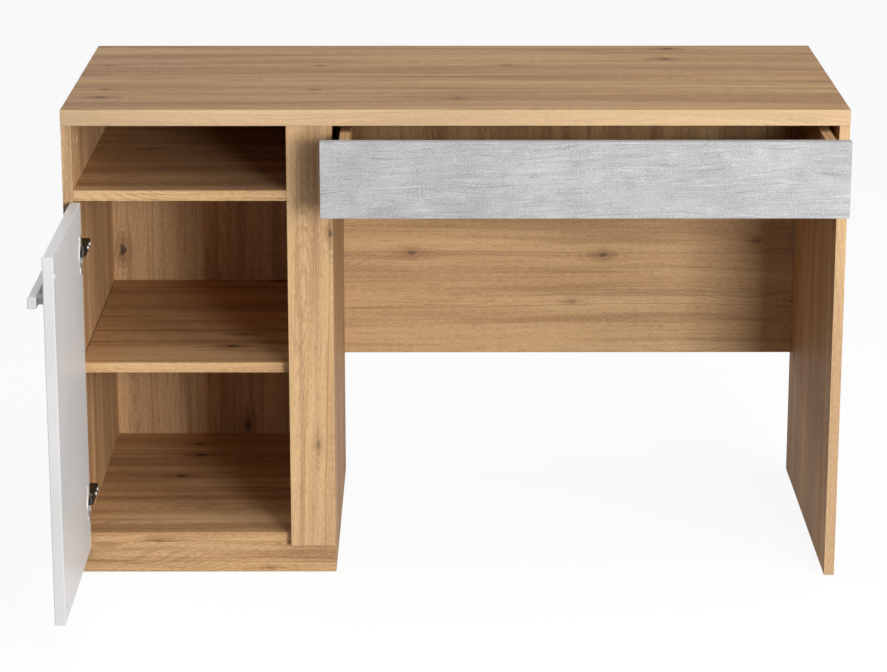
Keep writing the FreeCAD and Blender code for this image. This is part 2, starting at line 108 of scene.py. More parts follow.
def decor_plane(tree, turn, start):
    """Millimetres along and across a decor print that wraps round a board's edges."""
    place = put(tree, "TexCoord")
    board = put(tree, "Mapping", {"Vector": place["Object"], "Location": start, "Rotation": turn,
                                  "Scale": TO_MM})[0]
    along, over, through = put(tree, "SeparateXYZ", {0: board})
    facing = put(tree, "Mapping", {"Vector": place["Normal"], "Rotation": turn},
                 vector_type="VECTOR")[0]
    facing = put(tree, "SeparateXYZ", {0: facing})[0]
    facing = put(tree, "Math", {0: facing}, operation="ABSOLUTE")[0]
    end = put(tree, "Math", {0: facing, 1: 0.5}, operation="GREATER_THAN")[0]
    grain = put(tree, "Mix", {0: end, 2: along, 3: over})[0]
    across = put(tree, "Mix", {0: end, 2: over, 3: along})[0]
    across = put(tree, "Math", {0: across, 1: through}, operation="ADD")[0]
    return grain, across


def stretched_marks(tree, plane, sizes, roughness):
    """Drawn-out clouds on a print, each by its length and width in millimetres and its detail."""
    marks = {}
    for mark, length, width, detail in sizes:
        drawn = put(tree, "VectorMath", {0: plane, 1: (1 / length, 1 / width, 0)},
                    operation="MULTIPLY")[0]
        marks[mark] = put(tree, "TexNoise", {"Vector": drawn, "Scale": 1, "Detail": detail,
                                             "Roughness": roughness}, noise_dimensions="2D")[0]
    return marks


def oak_decor(tree, turn, start):
    """The oak print: its colour, and the height and gloss of its pressed pores."""
    grain, across = decor_plane(tree, turn, start)
    flat = put(tree, "CombineXYZ", {0: grain, 1: across})[0]

    # A slow bend of the grain over most of a metre, in millimetres either way
    bend_reach = 14
    far = put(tree, "VectorMath", {0: flat, 1: (1 / 800, 1 / 300, 0)}, operation="MULTIPLY")[0]
    bend = put(tree, "TexNoise", {"Vector": far, "Scale": 1, "Detail": 1}, noise_dimensions="2D")[0]
    bend = put(tree, "MapRange", {0: bend, 3: -bend_reach, 4: bend_reach})[0]
    bent = put(tree, "Math", {0: across, 1: bend}, operation="ADD")[0]

    # One place for a knot in each cell; a third stay empty and a third are faint; sizes in mm
    knot_cell = (300, 105, 1)
    least_radius, most_radius = 2.6, 7.0
    cell = put(tree, "VectorMath", {0: flat, 1: (1 / knot_cell[0], 1 / knot_cell[1], 0)},
               operation="MULTIPLY")[0]
    knot = put(tree, "TexVoronoi", {"Vector": cell, "Scale": 1, "Randomness": 0.72},
               voronoi_dimensions="2D")
    away = put(tree, "VectorMath", {0: cell, 1: knot["Position"]}, operation="SUBTRACT")[0]
    away = put(tree, "VectorMath", {0: away, 1: knot_cell}, operation="MULTIPLY")[0]
    chance, size, _ = put(tree, "SeparateColor", {0: knot["Color"]})
    present = put(tree, "MapRange", {0: chance, 1: 0.36, 2: 0.72, 3: 0, 4: 1})[0]
    size = put(tree, "MapRange", {0: size, 3: least_radius, 4: most_radius})[0]
    oval = put(tree, "VectorMath", {0: away, 1: (0.55, 1, 0)}, operation="MULTIPLY")[0]
    reach = put(tree, "VectorMath", {0: oval}, operation="LENGTH")["Value"]
    reach = put(tree, "Math", {0: reach, 1: size}, operation="DIVIDE")[0]
    rough = put(tree, "VectorMath", {0: flat, 1: (1 / 9, 1 / 5, 0)}, operation="MULTIPLY")[0]
    rough = put(tree, "TexNoise", {"Vector": rough, "Scale": 1, "Detail": 2},
                noise_dimensions="2D")[0]
    rough = put(tree, "MapRange", {0: rough, 1: 0.25, 2: 0.75, 3: -0.18, 4: 0.18})[0]
    reach = put(tree, "Math", {0: reach, 1: rough}, operation="ADD")[0]
    core = put(tree, "MapRange", {0: reach, 1: 0.35, 2: 1.3, 3: 1, 4: 0},
               interpolation_type="SMOOTHSTEP")[0]
    core = put(tree, "Math", {0: core, 1: present}, operation="MULTIPLY")[0]
    halo = put(tree, "MapRange", {0: reach, 1: 0.9, 2: 4.0, 3: 1, 4: 0},
               interpolation_type="SMOOTHSTEP")[0]
    halo = put(tree, "Math", {0: halo, 1: present}, operation="MULTIPLY")[0]

    # A dark streak runs out of each knot along the grain, in mm from its middle
    tail_length, tail_width = 60, 4.5
    tail = put(tree, "VectorMath", {0: away, 1: (1 / tail_length, 1 / tail_width, 0)},
               operation="MULTIPLY")[0]
    tail = put(tree, "VectorMath", {0: tail}, operation="LENGTH")["Value"]
    tail = put(tree, "Math", {0: tail, 1: rough}, operation="ADD")[0]
    tail = put(tree, "MapRange", {0: tail, 1: 0.1, 2: 1, 3: 1, 4: 0},
               interpolation_type="SMOOTHSTEP")[0]
    tail = put(tree, "Math", {0: tail, 1: present}, operation="MULTIPLY")[0]

    # The grain parts round each knot in nested rings, in mm from its middle
    ring_length, ring_width, ring_count = 85, 26, 8
    wide = put(tree, "VectorMath", {0: away, 1: (1 / ring_length, 1 / ring_width, 0)},
               operation="MULTIPLY")[0]
    wide = put(tree, "VectorMath", {0: wide}, operation="LENGTH")["Value"]
    ring = put(tree, "Math", {0: wide, 1: math.tau * ring_count, 2: bend},
               operation="MULTIPLY_ADD")[0]
    ring = put(tree, "Math", {0: ring, 1: rough}, operation="ADD")[0]
    ring = put(tree, "Math", {0: ring}, operation="SINE")[0]
    near = put(tree, "MapRange", {0: wide, 1: 0.2, 2: 0.95, 3: 1, 4: 0},
               interpolation_type="SMOOTHSTEP")[0]
    ring = put(tree, "Math", {0: ring, 1: near}, operation="MULTIPLY")[0]
    ring = put(tree, "Math", {0: ring, 1: present}, operation="MULTIPLY")[0]
    swell = put(tree, "MapRange", {0: wide, 1: 0, 2: 1, 3: 0.8, 4: 0},
                interpolation_type="SMOOTHERSTEP")[0]
    swell = put(tree, "Math", {0: swell, 1: present}, operation="MULTIPLY")[0]
    aside = put(tree, "SeparateXYZ", {0: away})[1]
    aside = put(tree, "Math", {0: aside, 1: swell}, operation="MULTIPLY")[0]
    flow = put(tree, "Math", {0: bent, 1: aside}, operation="SUBTRACT")[0]
    flowing = put(tree, "CombineXYZ", {0: grain, 1: flow})[0]

    # Pores and flecks are drawn 1 mm wide or more, so that they show
    streaks = stretched_marks(tree, flowing, (
        ("cloud", 900, 52, 3), ("band", 560, 17, 2), ("figure", 420, 64, 0),
        ("line", 240, 3.2, 3), ("pore", 38, 1.3, 2), ("fleck", 9, 1.0, 1)), 0.5)

    # Growth lines, their spacing in mm, bowed where a long swell runs out, and faint elsewhere
    line_spacing = 4.2
    bow_radians = 120
    lines = put(tree, "Math", {0: flow, 1: math.tau / line_spacing}, operation="MULTIPLY")[0]
    bow = put(tree, "Math", {0: streaks["figure"], 1: bow_radians}, operation="MULTIPLY")[0]
    growth = put(tree, "Math", {0: lines, 1: bow}, operation="ADD")[0]
    growth = put(tree, "Math", {0: growth}, operation="SINE")[0]
    zone = put(tree, "MapRange", {0: streaks["figure"], 1: 0.42, 2: 0.62, 3: 0.15, 4: 1})[0]
    growth = put(tree, "Math", {0: growth, 1: zone}, operation="MULTIPLY")[0]

    # Planks of this mean width in mm, each in its own tone, with a fine dark seam
    plank_width = 95
    strip = put(tree, "Math", {0: bent, 1: 1 / plank_width}, operation="MULTIPLY")[0]
    plank = put(tree, "TexVoronoi", {"W": strip, "Scale": 1}, voronoi_dimensions="1D")
    tone = put(tree, "SeparateColor", {0: plank["Color"]})[0]
    seam = put(tree, "TexVoronoi", {"W": strip, "Scale": 1}, voronoi_dimensions="1D",
               feature="DISTANCE_TO_EDGE")[0]

    colour = layered(tree, "#d9b17f", (
        ("#bb8f65", tone, 0, 1, 0.1, 0.6),
        ("#ab805d", streaks["cloud"], 0.46, 0.68, 0, 0.75),
        ("#e3be8e", streaks["cloud"], 0.28, 0.47, 0.65, 0),
        ("#966d4b", streaks["band"], 0.54, 0.74, 0, 0.5),
        ("#e0bb8b", streaks["band"], 0.26, 0.44, 0.35, 0),
        ("#976d48", growth, 0.1, 0.9, 0, 0.34),
        ("#8f6641", ring, 0.1, 0.9, 0, 0.42),
        ("#926a46", streaks["line"], 0.54, 0.74, 0, 0.36),
        ("#e6c394", streaks["line"], 0.26, 0.44, 0.3, 0),
        ("#84603f", streaks["pore"], 0.58, 0.74, 0, 0.42),
        ("#94693f", streaks["fleck"], 0.54, 0.72, 0, 0.3),
        ("#eaca9c", streaks["fleck"], 0.28, 0.46, 0.3, 0),
        ("#7d5735", seam, 0.0, 0.014, 0.45, 0),
        ("#8d6544", tail, 0, 1, 0, 0.6),
        ("#946a47", halo, 0, 1, 0, 0.5),
        ("#4c3729", core, 0, 1, 0, 0.88),
    ))
    height = put(tree, "Math", {0: streaks["pore"], 1: streaks["line"]}, operation="ADD")[0]
    gloss = put(tree, "MapRange", {0: streaks["pore"], 1: 0.3, 2: 0.7, 3: 0.5, 4: 0.64})[0]
    return colour, height, gloss


def oak_board(name, turn, start, painted_front_light=0.0, painted_shade=0.0):
    """Oak-print melamine, matt and warm with pressed pores; front faces paler by painted light."""
    material, tree = blank_material(name)
    colour, height, gloss = oak_decor(tree, turn, start)
    # Painted shade: the whole board is darkened towards a deep brown by this amount
    colour = put(tree, "Mix", {0: painted_shade, 6: colour, 7: linear("#5e3f26")}, data_type="RGBA")[2]
    # Painted light: faces that look forward are paled towards a light straw colour
    ahead = put(tree, "SeparateXYZ", {0: put(tree, "TexCoord")["Normal"]})[1]
    front = put(tree, "MapRange", {0: ahead, 1: -0.4, 2: -0.8, 3: 0, 4: painted_front_light})[0]
    colour = put(tree, "Mix", {0: front, 6: colour, 7: linear("#f0d6ae")}, data_type="RGBA")[2]
    surface(tree, {"Base Color": colour, "Roughness": gloss, "IOR": COAT_IOR,
                   "Specular IOR Level": 0.05}, height, 0.09)
    return material


def oak_hardboard(name, turn, start, shade):
    """Thin hardboard: oak print under painted shade on its face, raw brown fibre on the other side.
    """
    material, tree = blank_material(name)
    colour, height, gloss = oak_decor(tree, turn, start)
    fibre_place = in_millimetres(tree)
    felt = put(tree, "TexNoise", {"Vector": fibre_place, "Scale": 1 / 9, "Detail": 5,
                                  "Distortion": 2.0})[0]
    speck = put(tree, "TexNoise", {"Vector": fibre_place, "Scale": 1 / 1.6, "Detail": 2})[0]
    fibre = layered(tree, "#8f6f4e", (
        ("#a08260", felt, 0.42, 0.66, 0, 0.5),
        ("#755840", felt, 0.30, 0.44, 0.5, 0),
        ("#654a36", speck, 0.58, 0.74, 0, 0.4),
        ("#ad9070", speck, 0.26, 0.40, 0.35, 0),
    ))
    # Painted shade: the print is darkened towards a deep brown by the amount given
    colour = put(tree, "Mix", {0: shade, 6: colour, 7: linear("#4a3526")}, data_type="RGBA")[2]
    facing = put(tree, "SeparateXYZ", {0: put(tree, "TexCoord")["Normal"]})
    behind = put(tree, "Math", {0: facing[1], 1: 0.5}, operation="GREATER_THAN")[0]
    below = put(tree, "Math", {0: facing[2], 1: -0.5}, operation="LESS_THAN")[0]
    raw = put(tree, "Math", {0: behind, 1: below}, operation="MAXIMUM")[0]
    colour = put(tree, "Mix", {0: raw, 6: colour, 7: fibre}, data_type="RGBA")[2]
    height = put(tree, "Mix", {0: raw, 2: height, 3: speck})[0]
    gloss = put(tree, "Mix", {0: raw, 2: gloss, 3: 0.82})[0]
    surface(tree, {"Base Color": colour, "Roughness": gloss, "IOR": COAT_IOR,
                   "Specular IOR Level": 0.35}, height, 0.12)
    return material


def concrete_board(name):
    """Melamine with a cast-concrete print: cool pale grey, cloudy, brushed, with pin holes."""
    material, tree = blank_material(name)
    slight_slant = (0, 0.035, 0)
    grain, across = decor_plane(tree, slight_slant, (0, 0, 0))
    flat = put(tree, "CombineXYZ", {0: grain, 1: across})[0]

    # The strokes wander over a hand's length, in millimetres either way
    sway_reach = 6
    slow = put(tree, "VectorMath", {0: flat, 1: (1 / 190, 1 / 60, 0)}, operation="MULTIPLY")[0]
    sway = put(tree, "TexNoise", {"Vector": slow, "Scale": 1, "Detail": 2},
               noise_dimensions="2D")[0]
    sway = put(tree, "MapRange", {0: sway, 1: 0.25, 2: 0.75, 3: -sway_reach, 4: sway_reach})[0]
    across = put(tree, "Math", {0: across, 1: sway}, operation="ADD")[0]
    flat = put(tree, "CombineXYZ", {0: grain, 1: across})[0]

    # Scratches and sand are drawn 1.5 mm wide or more, so that they show
    marks = stretched_marks(tree, flat, (
        ("cloud", 95, 70, 4), ("patch", 38, 13, 5), ("drag", 110, 3.0, 4),
        ("scratch", 130, 1.9, 3), ("sand", 3.2, 1.6, 2)), 0.62)

    # A pin hole in one of ten cells of 9 by 8 mm
    spread = put(tree, "VectorMath", {0: flat, 1: (1 / 9, 1 / 8, 0)}, operation="MULTIPLY")[0]
    hole = put(tree, "TexVoronoi", {"Vector": spread, "Scale": 1}, voronoi_dimensions="2D")
    chance = put(tree, "SeparateColor", {0: hole["Color"]})[0]
    chance = put(tree, "Math", {0: chance, 1: 0.9}, operation="GREATER_THAN")[0]
    pit = put(tree, "MapRange", {0: hole["Distance"], 1: 0.04, 2: 0.15, 3: 1, 4: 0})[0]
    pit = put(tree, "Math", {0: pit, 1: chance}, operation="MULTIPLY")[0]

    colour = layered(tree, "#adacac", (
        ("#9f9e9f", marks["cloud"], 0.42, 0.66, 0, 0.65),
        ("#b8b7b7", marks["cloud"], 0.32, 0.48, 0.6, 0),
        ("#c6c5c5", marks["patch"], 0.54, 0.76, 0, 0.6),
        ("#959495", marks["patch"], 0.28, 0.44, 0.6, 0),
        ("#848384", marks["drag"], 0.56, 0.76, 0, 0.7),
        ("#d0cfcf", marks["drag"], 0.26, 0.42, 0.6, 0),
        ("#6f6e6f", marks["scratch"], 0.6, 0.76, 0, 0.65),
        ("#d6d5d5", marks["scratch"], 0.24, 0.40, 0.38, 0),
        ("#868586", marks["sand"], 0.52, 0.74, 0, 0.52),
        ("#d8d7d7", marks["sand"], 0.26, 0.46, 0.48, 0),
        ("#696869", pit, 0, 1, 0, 0.6),
    ))
    height = put(tree, "Math", {0: marks["drag"], 1: pit}, operation="SUBTRACT")[0]
    gloss = put(tree, "MapRange", {0: marks["patch"], 1: 0.3, 2: 0.7, 3: 0.48, 4: 0.62})[0]
    surface(tree, {"Base Color": colour, "Roughness": gloss, "IOR": COAT_IOR,
                   "Specular IOR Level": 0.4}, height, 0.08)
    return material


def pressed_white(name, code, shade, rough, ripple, relief):
    """A white coat: even colour, its sheen broken by the faint ripple of a press plate or spray."""
    material, tree = blank_material(name)
    place = in_millimetres(tree)
    peel = put(tree, "TexNoise", {"Vector": place, "Scale": 1 / ripple, "Detail": 2})[0]
    drift = put(tree, "TexNoise", {"Vector": place, "Scale": 1 / 140, "Detail": 2})[0]
    colour = layered(tree, code, (
        (shade, drift, 0.35, 0.7, 0, 0.6),
        (shade, peel, 0.5, 0.75, 0, 0.35),
    ))
    gloss = put(tree, "MapRange", {0: peel, 1: 0.3, 2: 0.7, 3: rough - 0.05, 4: rough + 0.05})[0]
    surface(tree, {"Base Color": colour, "Roughness": gloss, "IOR": COAT_IOR,
                   "Specular IOR Level": 0.5}, peel, relief)
    return material


def plated(name, code, stain, rough, brush):
    """Plated or bare steel: bright, with fine drawn lines and duller patches from handling."""
    material, tree = blank_material(name)
    place = in_millimetres(tree)
    drawn = put(tree, "VectorMath", {0: place, 1: brush}, operation="MULTIPLY")[0]
    lines = put(tree, "TexNoise", {"Vector": drawn, "Scale": 1, "Detail": 3})[0]
    haze = put(tree, "TexNoise", {"Vector": place, "Scale": 1 / 7, "Detail": 3})[0]
    colour = layered(tree, code, (
        (stain, haze, 0.42, 0.7, 0, 0.7),
        (stain, lines, 0.5, 0.72, 0, 0.4),
    ))
    gloss = put(tree, "MapRange", {0: haze, 1: 0.3, 2: 0.7, 3: rough - 0.07, 4: rough + 0.09})[0]
    surface(tree, {"Base Color": colour, "Roughness": gloss, "Metallic": 1.0}, lines, 0.02)
    return material


def moulded(name, code, shade, rough, clear=0.0):
    """Moulded plastic or rubber: satin, with a fine spark-eroded grain from its mould."""
    material, tree = blank_material(name)
    place = in_millimetres(tree)
    spark = put(tree, "TexNoise", {"Vector": place, "Scale": 1 / 0.5, "Detail": 2})[0]
    drift = put(tree, "TexNoise", {"Vector": place, "Scale": 1 / 6, "Detail": 2})[0]
    colour = layered(tree, code, (
        (shade, drift, 0.4, 0.7, 0, 0.6),
        (shade, spark, 0.5, 0.75, 0, 0.4),
    ))
    gloss = put(tree, "MapRange", {0: spark, 1: 0.3, 2: 0.7, 3: rough - 0.06, 4: rough + 0.08})[0]
    surface(tree, {"Base Color": colour, "Roughness": gloss, "IOR": COAT_IOR,
                   "Transmission Weight": clear}, spark, 0.03)
    return material


def beech_dowel(name):
    """Turned beech: pale pinkish wood with short dark flecks."""
    material, tree = blank_material(name)
    place = in_millimetres(tree)
    flecks = put(tree, "TexNoise", {"Vector": place, "Scale": 1 / 1.2, "Detail": 2})[0]
    colour = layered(tree, "#dcb98f", (
        ("#b98d62", flecks, 0.52, 0.7, 0, 0.8),
        ("#e8caa4", flecks, 0.28, 0.42, 0.6, 0),
    ))
    surface(tree, {"Base Color": colour, "Roughness": 0.7, "IOR": COAT_IOR}, flecks, 0.05)
    return material


# Which way the oak runs on each board, where on the print it was cut in millimetres, and, where
# they are given, the painted light that pales its front faces and the painted shade over it all
boards = {
    "top_panel": (GRAIN_ALONG_X, (120, 40, 0), 0.42, 0.14),
    "left_side_panel": (GRAIN_ALONG_Z, (2300, 310, 0), 0.15),
    "right_side_panel": (GRAIN_ALONG_Z, (4100, 820, 0), 0.2),
    "pedestal_side_panel": (GRAIN_ALONG_Z, (5900, 1270, 0), 0.0, 0.1),
    "front_post": (GRAIN_ALONG_Z, (7700, 1610, 0), 0.1),
    "niche_shelf": (GRAIN_ALONG_X, (1500, 2060, 0)),
    "bottom_panel": (GRAIN_ALONG_X, (3300, 2625, 0)),
    "plinth": (GRAIN_ALONG_X, (5200, 2910, 0)),
    "middle_shelf": (GRAIN_ALONG_X, (6800, 3370, 0)),
    "modesty_panel": (GRAIN_ALONG_X, (8900, 3830, 0), 0.1),
    "drawer_left_side": (GRAIN_ALONG_Y, (1900, 4260, 0)),
    "drawer_right_side": (GRAIN_ALONG_Y, (3700, 4610, 0)),
    "drawer_back": (GRAIN_ALONG_Z, (5400, 5130, 0)),
}
finishes = {node: oak_board("oak_laminate_" + node, *cut) for node, cut in boards.items()}
# The last number is the painted shade over each print
finishes["back_panel"] = oak_hardboard("oak_print_hardboard_back",
                                       GRAIN_ALONG_Z, (7300, 5570, 0), 0.05)
finishes["drawer_bottom"] = oak_hardboard("oak_print_hardboard_drawer",
                                          GRAIN_ALONG_X, (9300, 6020, 0), 0.1)
finishes["drawer_front"] = concrete_board("concrete_print_laminate")

# Colour, shade and roughness, then the length and depth of the ripple in millimetres
finishes["door_panel"] = pressed_white("white_melamine", "#e6e5e4", "#dddcda", 0.40, 2.2, 0.02)
finishes["door_handle"] = pressed_white("white_lacquer", "#e8e8e7", "#dfdfdd", 0.30, 1.4, 0.015)

# Colour, stain and roughness, then the scale of the drawn lines along each axis
nickel = plated("nickel_plate", "#dedcd8", "#c4c1bb", 0.46, (1 / 0.4, 1 / 9, 1 / 9))
dark_steel = plated("dark_steel", "#4b4744", "#36322f", 0.42, (1 / 0.5, 1 / 9, 1 / 9))
zinc_plate = plated("zinc_plate", "#b9bcc0", "#969a9f", 0.34, (1 / 9, 1 / 9, 1 / 0.5))
zinc_alloy = plated("zinc_alloy", "#a5a5a3", "#858583", 0.46, (1 / 3, 1 / 3, 1 / 3))
steel_wire = plated("steel_wire", "#a9a9a8", "#8c8c8a", 0.36, (1 / 6, 1 / 0.4, 1 / 6))
ball_steel = plated("ball_steel", "#d2d3d5", "#bfc0c2", 0.16, (1 / 4, 1 / 4, 1 / 4))

# Colour, shade and roughness, then how clear it is
cage_plastic = moulded("cage_plastic", "#33322f", "#26252a", 0.5)
glide_plastic = moulded("glide_plastic", "#4d3f34", "#3d3128", 0.5)
clear_rubber = moulded("clear_rubber", "#d0cfcd", "#c6c5c3", 0.62, 0.05)
beech = beech_dowel("beech")

fittings = (
    (nickel, ("hinge_cup_lower", "hinge_cup_upper", "hinge_plate_lower", "hinge_plate_upper",
              "shelf_pins", "hinge_cup_screws", "hinge_arm_screws", "hinge_plate_screws")),
    (dark_steel, ("hinge_arm_lower", "hinge_arm_upper")),
    (zinc_plate, ("cabinet_rail_left", "cabinet_rail_right", "drawer_rail_left",
                  "drawer_rail_right", "cabinet_rail_screws", "drawer_rail_screws",
                  "drawer_back_screws", "handle_screws", "cabinet_cam_bolts", "drawer_cam_bolts")),
    (zinc_alloy, ("cabinet_cam_locks", "drawer_cam_locks")),
    (steel_wire, ("back_nails", "hinge_pin_lower", "hinge_pin_upper")),
    (ball_steel, ("runner_balls_left", "runner_balls_right")),
    (cage_plastic, ("ball_cage_left", "ball_cage_right")),
    (glide_plastic, ("glides",)),
    (clear_rubber, ("door_bumpers",)),
    (beech, ("cabinet_dowels", "drawer_dowels")),
)
for finish, names in fittings:
    for name in names:
        finishes[name] = finish
for name, finish in finishes.items():
    nodes[name].material_slots[0].material = finish


def only(*objects):
    """Select these objects alone, the first of them active."""
    bpy.ops.object.select_all(action="DESELECT")
    for thing in objects:
        thing.select_set(True)
    bpy.context.view_layer.objects.active = objects[0]


def pick(mesh, vertex_test=None, face_test=None):
    """In edit mode, select the faces, or the edges between vertices, that pass a test."""
    bpy.ops.mesh.select_all(action="DESELECT")
    bpy.ops.object.mode_set(mode="OBJECT")
    if face_test:
        for face in mesh.polygons:
            face.select = face_test(face)
    else:
        passed = [vertex_test(vertex.co) for vertex in mesh.vertices]
        for edge in mesh.edges:
            edge.select = all(passed[index] for index in edge.vertices)
    bpy.ops.object.mode_set(mode="EDIT")


def merged_copy(node, name):
    """A copy of a node with its triangles joined into whole faces."""
    join_within = 0.002 * MM
    flat_within = math.radians(1.0)
    piece = bpy.data.objects.new(name, nodes[node].data.copy())
    bpy.context.scene.collection.objects.link(piece)
    only(piece)
    bpy.ops.object.mode_set(mode="EDIT")
    bpy.ops.mesh.select_all(action="SELECT")
    bpy.ops.mesh.remove_doubles(threshold=join_within)
    bpy.ops.mesh.dissolve_limited(angle_limit=flat_within)
    bpy.ops.object.mode_set(mode="OBJECT")
    return piece


def solid_corners(piece):
    """The lowest and highest corners and the points of each separate solid in a merged piece."""
    trial = bpy.data.objects.new("trial", piece.data.copy())
    bpy.context.scene.collection.objects.link(trial)
    only(trial)
    bpy.ops.object.mode_set(mode="EDIT")
    bpy.ops.mesh.select_all(action="SELECT")
    bpy.ops.mesh.separate(type="LOOSE")
    bpy.ops.object.mode_set(mode="OBJECT")
    found = []
    for solid in list(bpy.context.selected_objects):
        points = [vertex.co.copy() for vertex in solid.data.vertices]
        found.append((Vector(map(min, *points)), Vector(map(max, *points)), points))
        bpy.data.objects.remove(solid)
    return sorted(found, key=lambda solid: tuple(round(value, 5) for value in solid[0]))


def screw_head(low, high, points):
    """Where a screw's head lies and which way it faces: its long axis, at the end that is wider."""
    at_end = 0.05 * MM
    axis = max(range(3), key=lambda i: high[i] - low[i])
    middle = (low + high) / 2
    others = [i for i in range(3) if i != axis]
    spread = {}
    for end in (low[axis], high[axis]):
        rim = [point for point in points if abs(point[axis] - end) < at_end]
        spread[end] = max(math.hypot(*(point[i] - middle[i] for i in others)) for point in rim)
    end = max(spread, key=spread.get)
    facing = Vector((0, 0, 0))
    facing[axis] = 1 if end == high[axis] else -1
    middle[axis] = end
    return middle, facing


def cam_face(low, high, _points):
    """Where the open face of a cam lock lies: at the face of the board that it is let into."""
    flush = 0.2 * MM
    axis = min(range(3), key=lambda i: high[i] - low[i])
    middle = (low + high) / 2
    facing = Vector((0, 0, 0))
    for board in boards:
        board_low, board_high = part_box(board)
        if all(board_low[i] - MM < middle[i] < board_high[i] + MM for i in range(3)):
            if abs(low[axis] - board_low[axis]) < flush:
                facing[axis] = -1
                middle[axis] = low[axis]
            if abs(high[axis] - board_high[axis]) < flush:
                facing[axis] = 1
                middle[axis] = high[axis]
    return middle, facing


def cross_cutter(width, reach, depth):
    """A driver cross in millimetres, tapered to its tip, pointing down from just above the head."""
    above = 0.6
    tip_share = 0.55
    bpy.ops.object.select_all(action="DESELECT")
    bpy.ops.mesh.primitive_cube_add(size=1.0)
    cutter = bpy.context.object
    cutter.scale = (width, width, depth + above)
    cutter.location = (0, 0, (above - depth) / 2)
    bpy.ops.object.transform_apply(location=True, rotation=True, scale=True)
    bpy.ops.object.mode_set(mode="EDIT")
    pick(cutter.data, face_test=lambda face: abs(face.normal.z) < 0.5)
    bpy.ops.mesh.extrude_faces_move(TRANSFORM_OT_shrink_fatten={"value": reach - width / 2})
    pick(cutter.data, vertex_test=lambda co: co.z < 0)
    bpy.ops.transform.resize(value=(tip_share, tip_share, 1))
    bpy.ops.object.mode_set(mode="OBJECT")
    return cutter


def driven_heads(node, body, finish, seat, round_over, cross):
    """Fasteners with eased rims and a driver cross in each head, cut from a copy of their node."""
    piece = merged_copy(node, node + "_crossed")
    heads = [seat(*solid) for solid in solid_corners(piece)]
    only(piece)
    bpy.ops.object.mode_set(mode="EDIT")

    # A rim lies in the plane of its head, outside the cross and close to the head's middle
    _, cross_reach, _ = cross
    rim_inner = max(cross_reach, 2.4) * MM
    rim_outer = 12 * MM
    in_plane = 0.02 * MM

    def on_rim(co):
        return any(abs((co - place).dot(facing)) < in_plane
                   and rim_inner < (co - place).length < rim_outer for place, facing in heads)

    pick(piece.data, vertex_test=on_rim)
    bpy.ops.mesh.bevel(offset=round_over * MM, segments=3, profile=0.5, clamp_overlap=True)
    bpy.ops.object.mode_set(mode="OBJECT")

    # Each cross is turned on from the one before, as screws come to rest at any angle
    turn_degrees = 37.0
    cutter = cross_cutter(*cross)
    tools = []
    for count, (place, facing) in enumerate(heads):
        tool = cutter.copy()
        tool.data = cutter.data.copy()
        bpy.context.scene.collection.objects.link(tool)
        turn = facing.to_track_quat("Z", "Y").to_matrix().to_4x4()
        spin = Matrix.Rotation(math.radians(turn_degrees * count), 4, "Z")
        tool.matrix_world = Matrix.Translation(place) @ turn @ spin @ Matrix.Scale(MM, 4)
        tools.append(tool)
    bpy.data.objects.remove(cutter)
    only(*tools)
    bpy.ops.object.transform_apply(location=True, rotation=True, scale=True)
    bpy.ops.object.join()
    only(piece)
    cut = piece.modifiers.new("cross", "BOOLEAN")
    cut.object = tools[0]
    cut.solver = "EXACT"
    bpy.ops.object.modifier_apply(modifier=cut.name)
    bpy.data.objects.remove(tools[0])
    bpy.ops.object.shade_smooth_by_angle(angle=SMOOTH_ANGLE)
    piece.data.materials.clear()
    piece.data.materials.append(finish)
    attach(piece, body)
    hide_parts(node)
    return heads


def cover_cap():
    """A thin round cover with an eased rim, lying flat and facing up."""
    radius = 8.6 * MM
    thickness = 0.9 * MM
    round_over = 0.6 * MM
    bpy.ops.object.select_all(action="DESELECT")
    bpy.ops.mesh.primitive_cylinder_add(vertices=48, radius=radius, depth=thickness,
                                        location=(0, 0, thickness / 2))
    cap = bpy.context.object
    bpy.ops.object.transform_apply(location=True, rotation=True, scale=True)
    bpy.ops.object.mode_set(mode="EDIT")
    pick(cap.data, vertex_test=lambda co: co.z > thickness / 2)
    bpy.ops.mesh.bevel(offset=round_over, segments=3, profile=0.5)
    bpy.ops.object.mode_set(mode="OBJECT")
    bpy.ops.object.shade_smooth_by_angle(angle=SMOOTH_ANGLE)
    return cap


def cover_caps(heads):
    """Oak-coloured covers on the cam locks that open into the niche."""
    hosts = ("left_side_panel", "pedestal_side_panel")
    pattern = cover_cap()
    for count, (place, facing) in enumerate(heads):
        for host in hosts:
            low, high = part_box(host)
            if abs(facing.x) > 0.5 and low.x - MM < place.x < high.x + MM:
                cap = pattern.copy()
                cap.data = pattern.data.copy()
                cap.name = f"cam_cap_{count:02d}"
                bpy.context.scene.collection.objects.link(cap)
                cap.matrix_world = (Matrix.Translation(place)
                                    @ facing.to_track_quat("Z", "Y").to_matrix().to_4x4())
                only(cap)
                bpy.ops.object.transform_apply(location=True, rotation=True, scale=True)
                cap.data.materials.append(finishes[host])
                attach(cap, "carcass")
    bpy.data.objects.remove(pattern)


# A cross's width, reach and depth in millimetres
small_cross = (0.9, 2.1, 1.3)
cam_cross = (1.4, 3.6, 2.4)

